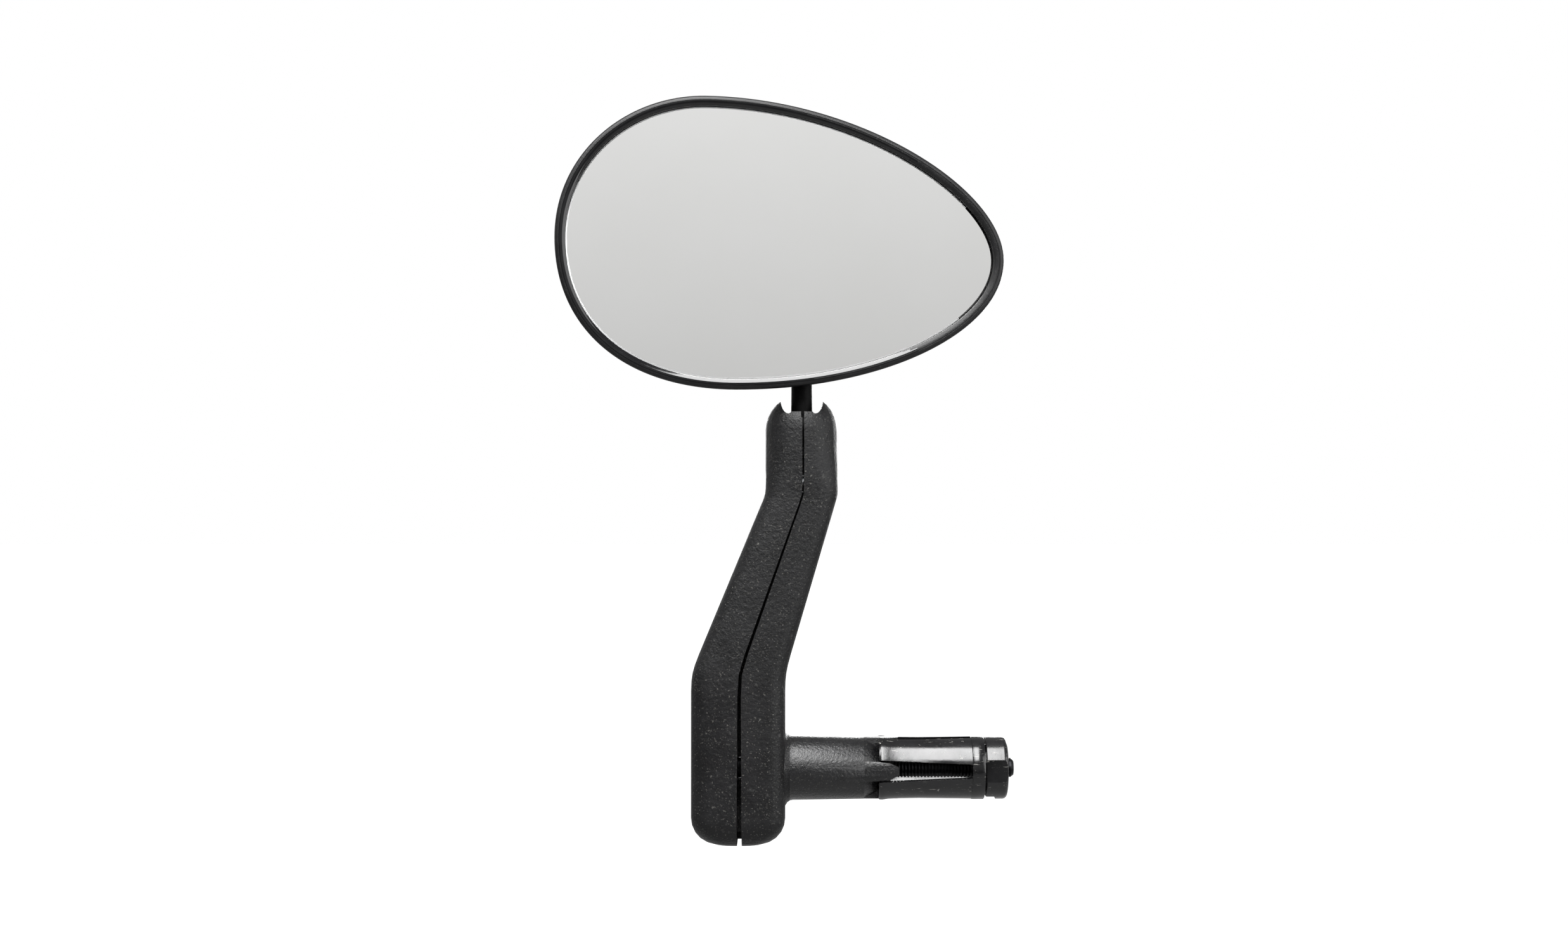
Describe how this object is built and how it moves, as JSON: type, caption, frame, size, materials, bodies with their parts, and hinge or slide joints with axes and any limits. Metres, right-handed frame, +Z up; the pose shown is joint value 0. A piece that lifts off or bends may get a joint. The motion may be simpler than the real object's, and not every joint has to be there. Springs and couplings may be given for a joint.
{
  "type": "bike mirror",
  "caption": "Bar-end bike mirror: egg-shaped convex glass on a ball stalk, a bent two-shell arm, and an expanding plug that grips inside the handlebar.",
  "frame": {"origin": "on the plug's axis, in the plane where the arm's flat side meets the end of the handlebar", "axes": "+X along the plug into the handlebar, +Z up along the arm towards the mirror, glass facing -Y"},
  "size_m": [0.1091, 0.0252, 0.1778],
  "materials": {
    "grained_plastic": "fine-grained black moulded plastic",
    "gloss_plastic": "glossy black moulded plastic",
    "cup_plastic": "dark self-lubricating plastic",
    "mirror_glass": "silvered convex glass with a ground edge",
    "backing_rubber": "matt black rubber sheet",
    "zinc_steel": "bright zinc-plated steel",
    "black_steel": "black-oxide steel screw"
  },
  "bodies": {
    "arm": {"outer_shell": "grained_plastic", "plug_shell": "grained_plastic", "clamp_washer": "zinc_steel", "clamp_nut": "zinc_steel", "expander_washer": "zinc_steel"},
    "tilt_cup": {"outer_ball_cup": "cup_plastic"},
    "lean_cup": {"inner_ball_cup": "cup_plastic"},
    "head": {"ball_stalk": "gloss_plastic", "mirror_housing": "gloss_plastic", "mirror_glass": "mirror_glass", "glass_backing": "backing_rubber"},
    "clamp_bolt": {"clamp_screw": "zinc_steel"},
    "expander_bolt": {"expander_screw": "black_steel"},
    "sleeve": {"expander_ring": "gloss_plastic", "end_cap": "gloss_plastic", "end_washer": "zinc_steel", "end_nut": "zinc_steel"},
    "finger_1": {"expander_finger_1": "gloss_plastic"},
    "finger_2": {"expander_finger_2": "gloss_plastic"},
    "finger_3": {"expander_finger_3": "gloss_plastic"},
    "finger_4": {"expander_finger_4": "gloss_plastic"}
  },
  "joints": [
    {"name": "head_tilt", "type": "hinge", "parent": "arm", "child": "tilt_cup", "pos_m": [0.00396, 0, 0.081], "axis": [1, 0, 0], "range_deg": [-25, 25]},
    {"name": "head_lean", "type": "hinge", "parent": "tilt_cup", "child": "lean_cup", "pos_m": [0.00396, 0, 0.081], "axis": [0, 1, 0], "range_deg": [-12, 12]},
    {"name": "head_swivel", "type": "hinge", "parent": "lean_cup", "child": "head", "pos_m": [0.00396, 0, 0.081], "axis": [0, 0, 1], "continuous": true},
    {"name": "clamp_screw_turn", "type": "hinge", "parent": "arm", "child": "clamp_bolt", "pos_m": [0.00396, 0, 0.0682], "axis": [1, 0, 0], "range_deg": [-360, 0]},
    {"name": "expander_screw_turn", "type": "hinge", "parent": "arm", "child": "expander_bolt", "pos_m": [0, 0, 0], "axis": [1, 0, 0], "range_deg": [0, 1440]},
    {"name": "sleeve_draw", "type": "slide", "parent": "arm", "child": "sleeve", "axis": [-1, 0, 0], "range_m": [0, 0.0032]},
    {"name": "finger_1_spread", "type": "hinge", "parent": "sleeve", "child": "finger_1", "pos_m": [0.0445, -0.00495, 0.00495], "axis": [0, 0.7071, 0.7071], "range_deg": [0, 3.9]},
    {"name": "finger_2_spread", "type": "hinge", "parent": "sleeve", "child": "finger_2", "pos_m": [0.0445, 0.00495, 0.00495], "axis": [0, 0.7071, -0.7071], "range_deg": [0, 3.9]},
    {"name": "finger_3_spread", "type": "hinge", "parent": "sleeve", "child": "finger_3", "pos_m": [0.0445, 0.00495, -0.00495], "axis": [0, -0.7071, -0.7071], "range_deg": [0, 3.9]},
    {"name": "finger_4_spread", "type": "hinge", "parent": "sleeve", "child": "finger_4", "pos_m": [0.0445, -0.00495, -0.00495], "axis": [0, -0.7071, 0.7071], "range_deg": [0, 3.9]}
  ],
  "couplings": [
    {"joint": "expander_screw_turn", "follows": "sleeve_draw", "rad_per_m": 7854},
    {"joint": "finger_1_spread", "follows": "sleeve_draw", "rad_per_m": 21.2},
    {"joint": "finger_2_spread", "follows": "sleeve_draw", "rad_per_m": 21.2},
    {"joint": "finger_3_spread", "follows": "sleeve_draw", "rad_per_m": 21.2},
    {"joint": "finger_4_spread", "follows": "sleeve_draw", "rad_per_m": 21.2}
  ]
}
